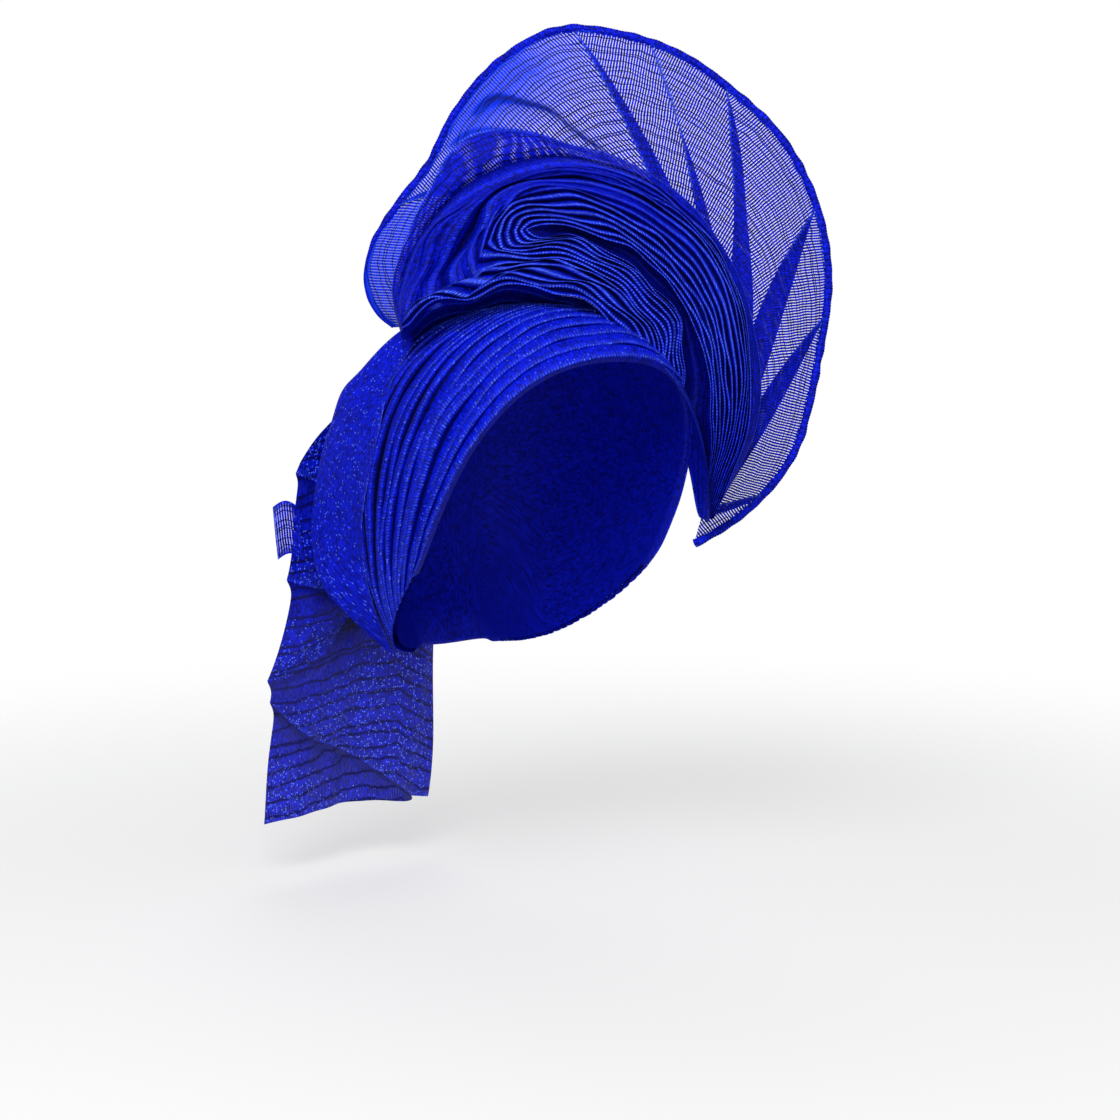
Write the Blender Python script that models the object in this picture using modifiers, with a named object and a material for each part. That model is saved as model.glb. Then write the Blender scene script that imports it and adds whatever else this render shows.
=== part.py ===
# Tied gele head tie: a pleated head wrap, a pleat rosette, a stiff gauze halo with its rolled hem,
# a folded flap behind the wearer's right ear, and a hanging tail with its selvage end.
# The wearer looks along -Y, +Z is up, and the origin is where the crown sits on top of the head.
import math

import bmesh
import bpy
import numpy as np
from mathutils import Vector

mm = 0.001

# Hollow for the head, measured from its centre
hollow_half_width = 82 * mm
hollow_front = 103 * mm
hollow_back = 112 * mm
hollow_height = 112 * mm
hollow_drop = 130 * mm
hollow_centre_back = 4 * mm
hollow_roundness = 2.3

# Head wrap
wrap_wall = 3.0 * mm
pleat_lip = 3.6 * mm
front_pleats = 12
back_pleats = 5
front_share = 0.6
rim_angle = math.radians(50.6)
front_angle = math.radians(108)
nape_angle = math.radians(225.6)
side_tilt = 0.05
wrap_columns = 22

# Gaps between touching pieces
seat_gap = 0.4 * mm
dome_gap = 0.6 * mm

# Fan: the upright face that the rosette and the halo share, turned to the wearer's right
fan_turn = math.radians(37)
fan_lean = 0.08
fan_back = 15 * mm

# Rosette
rosette_rise = 48 * mm
rosette_fall = 33 * mm
rosette_reach = 73 * mm
rosette_droop = 68 * mm
rosette_front = 34 * mm
rosette_ridge = 4.0 * mm
rosette_skirt = 12 * mm
turn_share = 0.4
rosette_columns = 44

# Halo
halo_radius = 144 * mm
halo_across = 33 * mm
halo_up = 16 * mm
halo_wall = 1.2 * mm
halo_inner_share = 0.45
halo_curl = 13 * mm
halo_fold = 5 * mm
hem_radius = 1.9 * mm

# Flap behind the ear
flap_wall = 1.6 * mm
flap_standoff = 32 * mm

# Tail
tail_length = 262 * mm
tail_wall = 1.6 * mm
tail_tier = 11 * mm
tail_top = -50 * mm
tail_back = 126 * mm

# Selvage end that sticks out beside the tail
end_height = 32 * mm
end_reach = 16 * mm
end_wall = 1.2 * mm
end_up = -136 * mm

# Where each pleat line of the wrap ends beside the head: the direction from the hollow's centre
gather_rows = (
    # share of the pleats, sideways, back, down
    (0.00, 0.906, 0.044, 0.420),
    (0.30, 0.720, 0.300, 0.600),
    (0.60, 0.430, 0.540, 0.720),
    (1.00, 0.250, 0.640, 0.730),
)

# The line that the rosette's folds lie round, from its eye to the wearer's left temple
spine_rows = (
    # across, up, as shares of the rosette's rise
    (-0.12, 0.96),
    (0.46, 0.89),
    (1.04, 0.62),
    (1.52, 0.15),
    (1.82, -0.46),
    (1.97, -1.20),
    (1.94, -2.30),
)

# One row for each fold of the rosette, from the eye outwards, as shares of the outermost fold
fold_rows = (
    # rise, fall, reach, droop
    (0.08, 0.09, 0.05, 0.00),
    (0.18, 0.21, 0.18, 0.03),
    (0.30, 0.33, 0.28, 0.06),
    (0.45, 0.46, 0.41, 0.20),
    (0.61, 0.58, 0.58, 0.53),
    (0.80, 0.76, 0.80, 0.76),
    (1.00, 1.00, 1.00, 1.00),
)

# How far the folds still stand off the spine on the way to the temple
taper_rows = (
    # share of the spine, above it, below it
    (0.00, 1.00, 1.00),
    (0.30, 0.97, 0.86),
    (0.50, 0.86, 0.62),
    (0.70, 0.62, 0.40),
    (0.85, 0.36, 0.25),
    (1.00, 0.13, 0.13),
)

# The halo's rim round its centre
rim_rows = (
    # angle in degrees, radius as a share of the halo's
    (-84, 0.80),
    (-76, 0.97),
    (-67, 1.09),
    (-57, 1.08),
    (-41, 1.02),
    (-20, 0.96),
    (1, 0.94),
    (20, 0.91),
    (38, 0.91),
    (55, 0.93),
    (70, 0.96),
    (86, 1.00),
    (99, 1.03),
    (113, 0.965),
    (130, 0.895),
    (146, 0.82),
    (160, 0.86),
    (172, 0.92),
    (182, 0.94),
    (192, 0.87),
)

# Folds that radiate across the halo
halo_fold_rows = (
    # angle in degrees, half width in degrees, height as a share of the fold
    (-24, 12, 0.8),
    (18, 13, 1.0),
    (47, 12, 1.0),
    (88, 13, 0.9),
    (128, 11, 0.9),
)

# The flap's section, from its front edge round the folded rear edge to its tucked end
flap_rows = (
    # share of the way to the rear edge, standoff as a share
    (0.00, 0.00),
    (0.28, 0.14),
    (0.55, 0.42),
    (0.80, 0.76),
    (0.97, 0.99),
    (1.07, 0.97),
    (1.14, 0.66),
    (1.24, 0.26),
    (1.36, 0.00),
)

# The flap from the knot down to the nape
flap_levels = (
    # height angle, turn of the front edge and of the rear edge from the wearer's right, standoff share
    (47, 42, 50, 0.36),
    (37, 33, 50, 0.44),
    (28, 29, 51, 0.64),
    (18, 29, 52, 0.68),
    (6, 34, 53, 0.82),
    (-10, 43, 54, 0.98),
    (-20, 46, 54, 0.92),
    (-30, 45, 53, 0.56),
    (-45, 41, 49, 0.06),
)

# The tail's sides at each level, and how far it hangs behind, as shares of the distance back
tail_rows = (
    # drop as a share, right side, left side, distance back on the right, distance back on the left
    (0.00, -0.50, 0.10, 0.94, 0.82),
    (0.08, -0.58, 0.10, 0.98, 0.92),
    (0.22, -0.66, 0.10, 1.00, 1.02),
    (0.45, -0.68, 0.11, 1.03, 1.05),
    (0.67, -0.75, 0.12, 1.07, 1.07),
    (0.86, -0.80, 0.14, 1.12, 1.09),
    (1.00, -0.81, 0.15, 1.15, 1.11),
)


def clear_scene():
    for old in list(bpy.data.objects):
        bpy.data.objects.remove(old)


def blend_rows(rows, at):
    """The other columns of a table at this value of its first column, along a smooth curve."""
    steps = np.array([row[0] for row in rows], float)
    values = np.array([row[1:] for row in rows], float)
    slopes = np.gradient(values, steps, axis=0)
    at = min(max(at, steps[0]), steps[-1])
    i = min(int(np.searchsorted(steps, at, side="right")) - 1, len(steps) - 2)
    width = steps[i + 1] - steps[i]
    t = (at - steps[i]) / width
    return (
        (2 * t**3 - 3 * t**2 + 1) * values[i]
        + (t**3 - 2 * t**2 + t) * width * slopes[i]
        + (3 * t**2 - 2 * t**3) * values[i + 1]
        + (t**3 - t**2) * width * slopes[i + 1]
    )


def numbered(rows):
    """The rows of a table with their number added in front, for blend_rows."""
    return [(i, *row) for i, row in enumerate(rows)]


def cloth_material(name, colour, roughness, alpha=1.0):
    made = bpy.data.materials.new(name)
    made.use_nodes = True
    shader = made.node_tree.nodes["Principled BSDF"]
    shader.inputs["Base Color"].default_value = (*colour, 1.0)
    shader.inputs["Roughness"].default_value = roughness
    shader.inputs["Metallic"].default_value = 0.0
    shader.inputs["Alpha"].default_value = alpha
    made.diffuse_color = (*colour, alpha)
    return made


def grid_of(columns, rows):
    """A flat grid whose vertices keep where they are across and along, each from 0 to 1."""
    bm = bmesh.new()
    across = bm.verts.layers.float.new("across")
    along = bm.verts.layers.float.new("along")
    bmesh.ops.create_grid(bm, x_segments=columns, y_segments=rows, size=0.5)
    for vert in bm.verts:
        vert[across] = vert.co.x + 0.5
        vert[along] = vert.co.y + 0.5
    return bm, across, along


def finished(name, bm, material, collection):
    bmesh.ops.recalc_face_normals(bm, faces=bm.faces)
    mesh = bpy.data.meshes.new(name)
    bm.to_mesh(mesh)
    bm.free()
    mesh.shade_smooth()
    mesh.set_sharp_from_angle(angle=math.radians(50))
    made = bpy.data.objects.new(name, mesh)
    mesh.materials.append(material)
    collection.objects.link(made)
    return made


def slab(name, columns, rows, front, back, material, collection):
    """A closed body between two surfaces, each a function of across and along."""
    bm, across, along = grid_of(columns, rows)
    for vert in bm.verts:
        vert.co = front(vert[across], vert[along])
    bmesh.ops.remove_doubles(bm, verts=bm.verts, dist=0.00001)
    added = bmesh.ops.extrude_face_region(bm, geom=list(bm.faces))
    for vert in [part for part in added["geom"] if isinstance(part, bmesh.types.BMVert)]:
        vert.co = back(vert[across], vert[along])
    return finished(name, bm, material, collection)


def sheet(name, columns, rows, place, wall, material, collection):
    """A cloth of one thickness along a surface that is a function of across and along."""
    bm, across, along = grid_of(columns, rows)
    for vert in bm.verts:
        vert.co = place(vert[across], vert[along])
    made = finished(name, bm, material, collection)
    thicken = made.modifiers.new("thickness", "SOLIDIFY")
    thicken.thickness = wall
    thicken.offset = 0
    return made


def hollow_radius(direction):
    """How far the head's hollow reaches from its centre in this direction."""
    halves = (
        hollow_half_width,
        hollow_back if direction.y > 0 else hollow_front,
        hollow_height if direction.z > 0 else hollow_drop,
    )
    total = sum((abs(part) / half) ** hollow_roundness for part, half in zip(direction, halves))
    return total ** (-1 / hollow_roundness)


def hollow_centre():
    return Vector((0, hollow_centre_back, -hollow_height))


def off_head(direction, standoff):
    """The point this far outside the hollow in a direction from its centre."""
    unit = direction.normalized()
    return hollow_centre() + unit * (hollow_radius(unit) + standoff)


def pleat_angle(share):
    """Where a pleat line crosses the middle of the head, from the forehead over the top to the nape."""
    if share < front_share:
        return rim_angle + (front_angle - rim_angle) * share / front_share
    return front_angle + (nape_angle - front_angle) * (share - front_share) / (1 - front_share)


def wrap_direction(share, side):
    """A direction along one pleat line. Side runs from -1, the wearer's right, to 1."""
    angle = pleat_angle(share)
    sideways, back, down = blend_rows(gather_rows, share)
    turn = side * math.pi / 2
    upright = math.cos(turn)
    sunk = math.sin(turn) ** 4
    tilt = -side_tilt * math.sin(turn) * (1 - share)
    return Vector(
        (
            sideways * math.sin(turn),
            -math.cos(angle) * upright + back * sunk,
            math.sin(angle) * upright - down * sunk + tilt,
        )
    )


def wrap_row(along):
    """The share and the lip at a row of the wrap: each pleat has a raised front edge and a tucked back."""
    pleats = front_pleats + back_pleats
    row = round(along * 2 * pleats)
    pleat, tucked = divmod(row, 2)
    starts = [front_share * i / front_pleats for i in range(front_pleats)]
    starts += [front_share + (1 - front_share) * i / back_pleats for i in range(back_pleats + 1)]
    if pleat == pleats:
        return 1.0, 0.0
    if tucked:
        return starts[pleat] + 0.88 * (starts[pleat + 1] - starts[pleat]), 0.0
    return starts[pleat], pleat_lip


def head_wrap(material, collection):
    def outside(across, along):
        share, lip = wrap_row(along)
        side = 2 * across - 1
        flat = 1 - 0.55 * abs(side) ** 6
        return off_head(wrap_direction(share, side), wrap_wall + lip * flat)

    def inside(across, along):
        share, _ = wrap_row(along)
        return off_head(wrap_direction(share, 2 * across - 1), 0)

    rows = 2 * (front_pleats + back_pleats)
    return slab("head_wrap", wrap_columns, rows, outside, inside, material, collection)


def fan_point(across, up, towards):
    """A point of the fan: across and up its face, and towards whoever looks at it."""
    return Vector(
        (
            across * math.cos(fan_turn) - towards * math.sin(fan_turn),
            -across * math.sin(fan_turn) - towards * math.cos(fan_turn),
            up,
        )
    )


def fan_face(up):
    """The fan's upright back face, which leans back a little as it rises."""
    return -fan_back - fan_lean * up


def spine(share):
    """The spine's place and its sideways direction at a share of its length."""
    rows = numbered(spine_rows)
    last = len(rows) - 1
    here = blend_rows(rows, share * last) * rosette_rise
    ahead = blend_rows(rows, min(share + 0.01, 1) * last)
    behind = blend_rows(rows, max(share - 0.01, 0) * last)
    run = (ahead - behind) / np.linalg.norm(ahead - behind)
    return here, np.array((-run[1], run[0]))


def rosette_line(fold, t):
    """Across and up of a point on one fold. It runs from the temple under the eye at t -1, round the
    turn at 0 and back over the eye to the temple at 1. Fold -1 lies on the spine itself."""
    if fold < 0:
        rise, fall, reach, droop = blend_rows(numbered(fold_rows), 0) * (1 + fold)
    else:
        rise, fall, reach, droop = blend_rows(numbered(fold_rows), fold)
    rise *= rosette_rise
    fall *= rosette_fall
    reach *= rosette_reach
    droop *= rosette_droop
    start, _ = spine(0)
    if abs(t) < turn_share:
        swing = math.pi / 2 * (1 - t / turn_share)
        across = start[0] - reach * math.sin(swing)
        up = start[1] + (rise + fall) / 2 * math.cos(swing) + (rise - fall) / 2
        return across, up - droop * math.sin(swing) ** 2
    share = (abs(t) - turn_share) / (1 - turn_share)
    here, sideways = spine(share)
    above, below = blend_rows(taper_rows, share)
    place = here + sideways * (rise * above if t > 0 else -fall * below)
    return place[0], place[1]


def rosette_depth(fold, t):
    """How far a fold's edge stands towards the front."""
    last = len(fold_rows) - 1
    share = max(abs(t) - turn_share, 0) / (1 - turn_share)
    lower = 0.5 * (1 - math.sin(math.pi / 2 * min(max(t / turn_share, -1), 1)))
    outer = min(max(fold, 0) / last, 1)
    spread = (1 - share**2) * outer * (0.47 * lower - 0.68 * (1 - lower))
    return rosette_front * (0.53 + spread)


def rosette(material, collection):
    last = len(fold_rows) - 1
    rows = 2 * last + 3

    def fold_at(along):
        row = round(along * rows)
        if row == 0:
            return -1, False, 0
        if row == rows:
            return last + 0.12, False, 1
        return (row - 1) / 2, row % 2 == 1, 0

    def front(across, along):
        fold, crest, skirt = fold_at(along)
        t = 2 * across - 1
        place = rosette_line(min(fold, last), t)
        share = max(abs(t) - turn_share, 0) / (1 - turn_share)
        depth = rosette_depth(fold, t) + (rosette_ridge if crest else 0) * (1 - 0.6 * share)
        if skirt:
            under = max(-t, 0) * (1 - abs(t)) * 4
            place = (place[0], place[1] - rosette_skirt * 0.5 * min(under, 1))
            depth -= rosette_skirt
        return fan_point(place[0], place[1], depth)

    def back(across, along):
        fold, _, skirt = fold_at(along)
        t = 2 * across - 1
        place = rosette_line(min(fold, last), t)
        if skirt:
            under = max(-t, 0) * (1 - abs(t)) * 4
            place = (place[0], place[1] - rosette_skirt * min(under, 1))
        return fan_point(place[0], place[1], fan_face(place[1]))

    return slab("rosette", rosette_columns, rows, front, back, material, collection)


def halo_rim(angle):
    (share,) = blend_rows(rim_rows, math.degrees(angle))
    return share * halo_radius


def halo_point(angle, share):
    """A point of the halo's cloth at an angle round its centre and a share of the way to its rim."""
    reach = halo_rim(angle) * share
    across = halo_across + reach * math.cos(angle)
    up = halo_up + reach * math.sin(angle)
    free = min(max((share - 0.72) / 0.28, 0), 1)
    swell = math.sin(math.pi * min(free, 0.7) / 1.05) ** 2
    folds = sum(
        height * math.cos(math.pi / 2 * min(abs(math.degrees(angle) - at) / width, 1)) ** 2
        for at, width, height in halo_fold_rows
    )
    towards = fan_face(up) - seat_gap - halo_wall / 2
    towards += -halo_curl * free**2 + halo_fold * folds * swell
    return fan_point(across, up, towards)


def halo(material, collection):
    first = math.radians(rim_rows[0][0])
    last = math.radians(rim_rows[-1][0])
    edge = 1 - (hem_radius + seat_gap) / halo_radius

    def place(across, along):
        share = halo_inner_share + (edge - halo_inner_share) * along
        return halo_point(first + (last - first) * across, share)

    return sheet("halo", 48, 7, place, halo_wall, material, collection)


def halo_hem(material, collection):
    first = math.radians(rim_rows[0][0])
    last = math.radians(rim_rows[-1][0])
    bm, across, along = grid_of(60, 6)
    for vert in bm.verts:
        angle = first + (last - first) * vert[across]
        here = halo_point(angle, 1)
        ahead = (halo_point(angle + 0.02, 1) - halo_point(angle - 0.02, 1)).normalized()
        outward = ahead.cross(fan_point(0, 0, 1)).normalized()
        turn = 2 * math.pi * vert[along]
        ring = outward * math.cos(turn) + outward.cross(ahead) * math.sin(turn)
        vert.co = here + ring * hem_radius
    bmesh.ops.remove_doubles(bm, verts=bm.verts, dist=0.00001)
    bmesh.ops.holes_fill(bm, edges=bm.edges, sides=0)
    return finished("halo_hem", bm, material, collection)


def flap(material, collection):
    last = len(flap_rows) - 1
    levels = numbered(flap_levels)

    def place(across, along):
        share, off = blend_rows(numbered(flap_rows), across * last)
        height, front, rear, swell = blend_rows(levels, along * (len(levels) - 1))
        turn = math.radians(front + (rear - front) * share)
        level = math.radians(height)
        flat = math.cos(level)
        seat = wrap_wall + pleat_lip + flap_wall / 2
        direction = Vector((-math.cos(turn) * flat, math.sin(turn) * flat, math.sin(level)))
        return off_head(direction, seat + flap_standoff * off * swell)

    return sheet("flap", 14, 18, place, flap_wall, material, collection)


def tail_point(across, along):
    """A point of the tail: across from the wearer's right, along from its top to its end."""
    right, left, back_right, back_left = blend_rows(tail_rows, along) * tail_back
    x = right + (left - right) * across
    back = back_right + (back_left - back_right) * across
    free = min(along * 5, 1)
    level = along * 3 + 0.25 * across * free
    tier = tail_tier * (level % 1.0) ** 2 * free
    drape = 0.3 * tail_tier * math.cos(3 * math.pi * across) * free
    return Vector((x - 0.4 * tier * (1 - across), back + tier + drape, tail_top - tail_length * along))


def tail(material, collection):
    return sheet("tail", 12, 24, tail_point, tail_wall, material, collection)


def selvage_end(material, collection):
    def place(across, along):
        drop = (end_up - tail_top - end_height * (along - 0.5)) / -tail_length
        root = tail_point(0, drop)
        bow = math.sin(math.pi * across)
        out = Vector((-0.80, 0.55, 0)) * (tail_wall + end_reach * across)
        wave = Vector((0.4, 0.6, 0)) * 0.12 * end_reach * math.cos(2 * math.pi * along)
        return root + out + wave * across + Vector((0, 0, 0.25 * end_reach * bow))

    return sheet("selvage_end", 5, 6, place, end_wall, material, collection)


def seat_cutter(collection):
    """The crown's outside with the gap to it, as a solid that the pieces seated on it are cut with."""
    bm = bmesh.new()
    bmesh.ops.create_icosphere(bm, subdivisions=5, radius=1)
    for vert in bm.verts:
        vert.co = off_head(vert.co.copy(), wrap_wall + pleat_lip + dome_gap)
    mesh = bpy.data.meshes.new("seat_cutter")
    bm.to_mesh(mesh)
    bm.free()
    made = bpy.data.objects.new("seat_cutter", mesh)
    collection.objects.link(made)
    made.hide_render = True
    made.display_type = "WIRE"
    return made


def seat_on(piece, cutter):
    cut = piece.modifiers.new("seat", "BOOLEAN")
    cut.operation = "DIFFERENCE"
    cut.solver = "EXACT"
    cut.object = cutter


def build():
    clear_scene()
    collection = bpy.data.collections.new("tied_gele")
    bpy.context.scene.collection.children.link(collection)
    helpers = bpy.data.collections.new("cutters")
    bpy.context.scene.collection.children.link(helpers)
    cloth = cloth_material("royal_blue_cloth", (0.004, 0.01, 0.55), 0.5)
    gauze = cloth_material("royal_blue_gauze", (0.01, 0.03, 0.62), 0.5, 0.6)
    cutter = seat_cutter(helpers)
    head_wrap(cloth, collection)
    for piece in (
        rosette(cloth, collection),
        halo(gauze, collection),
        halo_hem(cloth, collection),
        tail(cloth, collection),
    ):
        seat_on(piece, cutter)
    flap(cloth, collection)
    selvage_end(gauze, collection)


build()
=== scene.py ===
import math

import bpy
import numpy as np
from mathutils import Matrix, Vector


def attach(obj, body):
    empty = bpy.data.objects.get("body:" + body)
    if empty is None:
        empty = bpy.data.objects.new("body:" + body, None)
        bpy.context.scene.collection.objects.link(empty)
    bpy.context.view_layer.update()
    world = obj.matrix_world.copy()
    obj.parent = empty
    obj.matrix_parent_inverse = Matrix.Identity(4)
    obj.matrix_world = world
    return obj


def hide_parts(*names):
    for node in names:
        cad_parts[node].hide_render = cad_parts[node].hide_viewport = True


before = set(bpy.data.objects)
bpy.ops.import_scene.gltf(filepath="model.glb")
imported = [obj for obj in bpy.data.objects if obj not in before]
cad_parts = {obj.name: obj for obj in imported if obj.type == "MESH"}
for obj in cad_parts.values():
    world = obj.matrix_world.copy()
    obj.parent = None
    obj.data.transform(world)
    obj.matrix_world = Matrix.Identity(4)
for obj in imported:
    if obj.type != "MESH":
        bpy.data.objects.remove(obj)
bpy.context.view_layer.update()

mm = 0.001
bpy.ops.object.select_all(action="DESELECT")
print("frame loaded:", sorted(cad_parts))

# Lengths below are in millimetres until clothPiece turns them into metres.


def smoothRows(rows, at):
    # the other columns of a table where its first column has this value, along a smooth curve
    table = np.array(rows, float)
    steps, values = table[:, 0], table[:, 1:]
    slopes = np.gradient(values, steps, axis=0)
    at = np.clip(np.asarray(at, float), steps[0], steps[-1])
    i = np.clip(np.searchsorted(steps, at, side="right") - 1, 0, len(steps) - 2)
    width = (steps[i + 1] - steps[i])[..., None]
    t = (at - steps[i])[..., None] / width
    return (
        (2 * t**3 - 3 * t**2 + 1) * values[i]
        + (t**3 - 2 * t**2 + t) * width * slopes[i]
        + (3 * t**2 - 2 * t**3) * values[i + 1]
        + (t**3 - t**2) * width * slopes[i + 1]
    )


def numbered(rows):
    return [(i, *row) for i, row in enumerate(rows)]


def runLength(points):
    # distance run along lines of points; the last axis but one counts the points
    steps = np.linalg.norm(np.diff(points, axis=-2), axis=-1)
    start = np.zeros(steps.shape[:-1] + (1,))
    return np.concatenate([start, np.cumsum(steps, axis=-1)], axis=-1)


def runAcross(points):
    # distance run from row to row of a grid of points
    return runLength(points.swapaxes(0, 1)).T


def evenLine(points, count):
    # a smooth line through a few points, read at even distances
    points = np.array(points, float)
    rough = runLength(points)
    fine = smoothRows(np.column_stack([rough, points]), np.linspace(0, rough[-1], 500))
    run = runLength(fine)
    at = np.linspace(0, run[-1], count)
    return np.column_stack([np.interp(at, run, fine[:, i]) for i in range(fine.shape[1])])


def ripple(x, seed, waves=4, low=1.0, high=6.0):
    # a smooth irregular wave about 1 high, the same each time for a seed
    dice = np.random.default_rng(seed)
    total = np.zeros_like(np.asarray(x, float))
    for _ in range(waves):
        total = total + np.sin(2 * np.pi * (dice.uniform(low, high) * x + dice.uniform()))
    return total / math.sqrt(waves)


def unit(vectors):
    return vectors / np.maximum(np.linalg.norm(vectors, axis=-1, keepdims=True), 1e-9)


def bell(value, width):
    return np.exp(-((value / width) ** 2))


def leftOf(lines):
    # the way to the left of flat lines of points, at each point
    ways = unit(np.gradient(lines, axis=-2))
    return np.stack([-ways[..., 1], ways[..., 0]], axis=-1)


# The head's hollow and the crown over it
head = {
    "halfWidth": 82, "front": 103, "back": 112, "height": 112, "drop": 130, "centreBack": 4,
    "roundness": 2.3, "wall": 3.0, "lip": 3.6, "seat": 0.8,
}
headCentre = np.array([0, head["centreBack"], -head["height"]], float)


def hollowRadius(directions):
    halves = np.empty_like(directions)
    halves[..., 0] = head["halfWidth"]
    halves[..., 1] = np.where(directions[..., 1] > 0, head["back"], head["front"])
    halves[..., 2] = np.where(directions[..., 2] > 0, head["height"], head["drop"])
    total = np.sum((np.abs(directions) / halves) ** head["roundness"], axis=-1)
    return total ** (-1 / head["roundness"])


def offHead(directions, standoff):
    ways = unit(directions)
    return headCentre + ways * (hollowRadius(ways) + standoff)[..., None]


def seatOnCrown(points):
    # pushes whatever would lie inside the crown out onto it
    away = points - headCentre
    reach = np.linalg.norm(away, axis=-1)
    least = hollowRadius(unit(away)) + head["wall"] + head["seat"]
    return headCentre + unit(away) * np.maximum(reach, least)[..., None]


# The fan: the upright face that the rosette and the halo share
fan = {"turn": math.radians(37), "lean": 0.08, "back": 15}


def fanPoint(across, up, towards):
    turn = fan["turn"]
    return np.stack(
        [
            across * math.cos(turn) - towards * math.sin(turn),
            -across * math.sin(turn) - towards * math.cos(turn),
            up + 0 * across,
        ],
        axis=-1,
    )


def onFan(plane, towards):
    return fanPoint(plane[..., 0], plane[..., 1], towards)


def fanFace(up):
    return -fan["back"] - fan["lean"] * up


def clothPiece(name, grids, flip=False):
    # a mesh of one or more grids of points. Each grid has its points (rows, columns, 3), the cloth's own
    # coordinates for each row of faces (rows - 1, 2, columns, 2), the painted light at each point (painted
    # shade below 0, painted highlight above 0) and how dense it is at each point.
    places, corners, maps, paintedLights, weights = [], [], [], [], []
    start = 0
    for points, cloth, paintedLight, dense in grids:
        rows, columns = points.shape[:2]
        number = start + np.arange(rows * columns).reshape(rows, columns)
        start += rows * columns
        quads = np.stack([number[:-1, :-1], number[:-1, 1:], number[1:, 1:], number[1:, :-1]], axis=-1)
        quadMaps = np.stack([cloth[:, 0, :-1], cloth[:, 0, 1:], cloth[:, 1, 1:], cloth[:, 1, :-1]], axis=2)
        if flip:
            quads, quadMaps = quads[..., ::-1], quadMaps[..., ::-1, :]
        places.append(points.reshape(-1, 3))
        corners.append(quads.reshape(-1, 4))
        maps.append(quadMaps.reshape(-1, 2))
        paintedLights.append(paintedLight.reshape(-1))
        weights.append(dense.reshape(-1))
    places, corners = np.concatenate(places) * mm, np.concatenate(corners)
    mesh = bpy.data.meshes.new(name)
    mesh.vertices.add(len(places))
    mesh.vertices.foreach_set("co", places.astype(np.float32).ravel())
    mesh.loops.add(corners.size)
    mesh.loops.foreach_set("vertex_index", corners.astype(np.int32).ravel())
    mesh.polygons.add(len(corners))
    mesh.polygons.foreach_set("loop_start", np.arange(0, corners.size, 4, dtype=np.int32))
    mesh.update(calc_edges=True)
    layer = mesh.uv_layers.new(name="cloth")
    layer.uv.foreach_set("vector", (np.concatenate(maps) * mm).astype(np.float32).ravel())
    for title, values in (("paintedLight", paintedLights), ("dense", weights)):
        made = mesh.attributes.new(title, "FLOAT", "POINT")
        made.data.foreach_set("value", np.concatenate(values).astype(np.float32))
    mesh.validate()
    mesh.shade_smooth()
    piece = bpy.data.objects.new(name, mesh)
    bpy.context.scene.collection.objects.link(piece)
    return piece


def bothSides(values):
    # the lower and the upper values of each row of faces
    return np.stack([values[:-1], values[1:]], axis=1)


def flatMap(points):
    # cloth coordinates that run along the columns and across the rows
    along = runLength(points)
    middle = along[:, along.shape[1] // 2][:, None]
    return bothSides(np.stack([along - middle, runAcross(points)], axis=-1))


def lineMap(line, across):
    # cloth coordinates that run along one line, from its middle, and across the rows as given
    along = runLength(line)
    return np.stack([np.broadcast_to(along - along[len(along) // 2], across.shape), across], axis=-1)


# Head wrap: bands that run from behind one ear over the forehead to behind the other
wrap = {
    "wideBands": 6, "wideBand": 9.4, "narrowBands": 11, "narrowBand": 5.0, "backBands": 11,
    "frontShare": 0.6, "rimAngle": 50.6, "frontAngle": 108, "napeAngle": 225.6, "sideTilt": 0.05,
    "columns": 260, "innerRows": 30, "edgeRise": 4.0, "lining": 0.4, "wobble": 0.10, "swell": 0.10,
    "earAt": 0.66, "earWidth": 0.22, "earRelief": 2.2, "earShade": 0.6, "heightPower": 0.35,
    "leastRoom": 0.12, "roomPower": 0.55, "tuckedIn": 0.002,
}
wrapGather = (
    # share of the pleats, sideways, back, down
    (0.00, 0.906, 0.044, 0.420), (0.30, 0.720, 0.300, 0.600),
    (0.60, 0.430, 0.540, 0.720), (1.00, 0.250, 0.640, 0.730),
)
bandSection = (
    # how far back of the band's start as a share of the band, height over the crown's base, painted light:
    # painted shade below 0 at the band's low edges, painted highlight above 0 on its raised lip
    (0.00, 0.6, -1), (-0.06, 1.2, -0.8), (-0.09, 1.9, 0), (-0.06, 2.6, 0.7), (0.03, 2.95, 0.2),
    (0.30, 2.9, 0), (0.62, 2.5, 0), (0.90, 1.6, -0.1), (1.00, 1.0, -0.7),
)


def wrapDirection(share, side):
    turning = wrap["frontAngle"] - wrap["rimAngle"]
    beyond = wrap["napeAngle"] - wrap["frontAngle"]
    front = wrap["frontShare"]
    angle = np.where(
        share < front,
        wrap["rimAngle"] + turning * share / front,
        wrap["frontAngle"] + beyond * (share - front) / (1 - front),
    )
    angle = np.radians(angle)
    sideways, back, down = np.moveaxis(smoothRows(wrapGather, share), -1, 0)
    turn = side * math.pi / 2
    upright, sunk = np.cos(turn), np.sin(turn) ** 4
    tilt = -wrap["sideTilt"] * np.sin(turn) * (1 - share)
    return np.stack(
        [
            sideways * np.sin(turn),
            -np.cos(angle) * upright + back * sunk,
            np.sin(angle) * upright - down * sunk + tilt,
        ],
        axis=-1,
    )


def wrapStarts():
    widths = [wrap["wideBand"]] * wrap["wideBands"] + [wrap["narrowBand"]] * wrap["narrowBands"]
    front = np.cumsum([0] + widths) / sum(widths) * wrap["frontShare"]
    rear = np.linspace(wrap["frontShare"], 1, wrap["backBands"] + 1)[1:]
    return np.concatenate([front, rear])


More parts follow.
